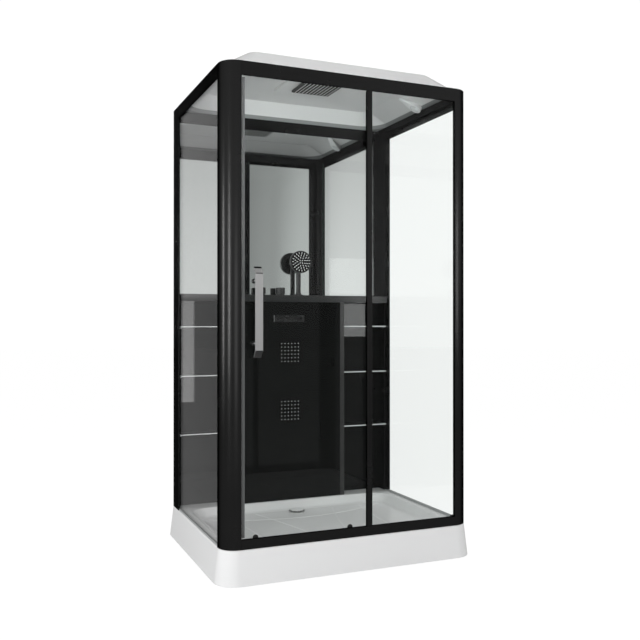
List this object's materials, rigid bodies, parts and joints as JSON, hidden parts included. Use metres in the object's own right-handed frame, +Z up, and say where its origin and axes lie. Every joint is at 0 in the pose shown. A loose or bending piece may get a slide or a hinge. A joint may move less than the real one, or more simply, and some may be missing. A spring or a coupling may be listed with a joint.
{
  "type": "shower cabin",
  "caption": "Rectangular shower cabin: moulded tray and roof, black frame, clear glass with a sliding door, mirrored rear wall, niches, jets, rain head and hand shower.",
  "frame": {"origin": "middle of the tray footprint on the floor, under the centre foot", "axes": "+X to the right as seen from the front, +Y to the rear wall, +Z up"},
  "size_m": [1.2, 0.92, 2.219],
  "materials": {
    "white_acrylic": "smooth gloss",
    "steel_tube": "galvanised",
    "steel_bolt": "zinc plated",
    "foot_rubber": "matt",
    "trap_plastic": "matt",
    "chrome": "polished",
    "black_aluminium": "satin powder coat",
    "clear_glass": "clear toughened",
    "grey_seal": "satin vinyl",
    "pale_seal": "satin vinyl",
    "black_seal": "matt",
    "brushed_metal": "brushed along the bar",
    "black_nylon": "satin",
    "white_nylon": "satin",
    "mirror": "silvered",
    "ledge_grey": "satin",
    "gloss_black": "high gloss",
    "dark_trim": "anodised",
    "shelf_glass": "tinted, bright ground edge",
    "brass": "cast and machined",
    "fitting_black": "satin",
    "silicone": "soft matt",
    "dark_silicone": "soft matt",
    "lamp_white": "smooth",
    "lamp_clear": "frosted"
  },
  "bodies": {
    "root": {"tray_shell": "white_acrylic", "tray_frame": "steel_tube", "foot_bolts": "steel_bolt", "foot_pads": "foot_rubber", "drain_trap": "trap_plastic", "front_column_left": "black_aluminium", "front_column_right": "black_aluminium", "front_top_rail": "black_aluminium", "front_bottom_rail": "black_aluminium", "side_top_rail_left": "black_aluminium", "side_top_rail_right": "black_aluminium", "rear_top_rail": "black_aluminium", "rear_post_left": "black_aluminium", "rear_post_right": "black_aluminium", "frame_screws": "steel_bolt", "side_glass_left": "clear_glass", "side_glass_right": "clear_glass", "side_seals": "grey_seal", "fixed_glass": "clear_glass", "fixed_stile": "black_aluminium", "column_seal": "pale_seal", "door_stops": "black_seal", "mirror_panel": "mirror", "ledge": "ledge_grey", "centre_panel": "gloss_black", "centre_trims": "dark_trim", "niche_panel_left": "gloss_black", "niche_panel_right": "gloss_black", "shelves_left": "shelf_glass", "shelves_right": "shelf_glass", "shelf_clips": "chrome", "mixer_body": "brass", "shower_socket": "fitting_black", "spout": "fitting_black", "jet_plate_upper": "fitting_black", "jet_plate_lower": "fitting_black", "jet_mats": "silicone", "roof_dome": "white_acrylic", "rain_head": "fitting_black", "rain_head_mat": "dark_silicone", "lamp_housing": "lamp_white", "lamp_lens": "lamp_clear"},
    "door": {"door_glass": "clear_glass", "door_edge_seal": "pale_seal", "door_wiper": "black_seal", "handle_bar": "brushed_metal", "handle_posts": "chrome", "door_hangers": "black_nylon", "lower_roller_mounts": "black_nylon"},
    "upper_wheel_left": {"upper_roller_left": "white_nylon"},
    "upper_wheel_right": {"upper_roller_right": "white_nylon"},
    "lower_wheel_left": {"lower_roller_left": "white_nylon"},
    "lower_wheel_right": {"lower_roller_right": "white_nylon"},
    "temperature_control": {"temperature_knob": "fitting_black", "temperature_spindle": "brass"},
    "selector_control": {"selector_knob": "fitting_black", "selector_spindle": "brass"},
    "handset": {"hand_shower": "fitting_black", "hand_shower_face": "dark_silicone"},
    "cover": {"drain_cover": "chrome"}
  },
  "joints": [
    {"name": "door_slide", "type": "slide", "parent": "root", "child": "door", "axis": [1, 0, 0], "range_m": [0, 0.41]},
    {"name": "upper_wheel_left_spin", "type": "hinge", "parent": "door", "child": "upper_wheel_left", "pos_m": [-0.438, -0.4008, 2.0923], "axis": [0, 1, 0], "continuous": true},
    {"name": "lower_wheel_left_spin", "type": "hinge", "parent": "door", "child": "lower_wheel_left", "pos_m": [-0.438, -0.4008, 0.1873], "axis": [0, 1, 0], "continuous": true},
    {"name": "upper_wheel_right_spin", "type": "hinge", "parent": "door", "child": "upper_wheel_right", "pos_m": [-0.012, -0.4008, 2.0923], "axis": [0, 1, 0], "continuous": true},
    {"name": "lower_wheel_right_spin", "type": "hinge", "parent": "door", "child": "lower_wheel_right", "pos_m": [-0.012, -0.4008, 0.1873], "axis": [0, 1, 0], "continuous": true},
    {"name": "temperature_turn", "type": "hinge", "parent": "root", "child": "temperature_control", "pos_m": [-0.14, 0.399, 1.207], "axis": [0, 0, 1], "range_deg": [-120, 120]},
    {"name": "selector_turn", "type": "hinge", "parent": "root", "child": "selector_control", "pos_m": [-0.033, 0.399, 1.207], "axis": [0, 0, 1], "range_deg": [0, 270]},
    {"name": "handset_lift", "type": "slide", "parent": "root", "child": "handset", "axis": [0, 0, 1], "range_m": [0, 0.15]},
    {"name": "cover_lift", "type": "slide", "parent": "root", "child": "cover", "axis": [0, 0, 1], "range_m": [0, 0.06]}
  ],
  "couplings": [
    {"joint": "upper_wheel_left_spin", "follows": "door_slide", "rad_per_m": 83.333},
    {"joint": "lower_wheel_left_spin", "follows": "door_slide", "rad_per_m": 90.909},
    {"joint": "upper_wheel_right_spin", "follows": "door_slide", "rad_per_m": 83.333},
    {"joint": "lower_wheel_right_spin", "follows": "door_slide", "rad_per_m": 90.909}
  ]
}
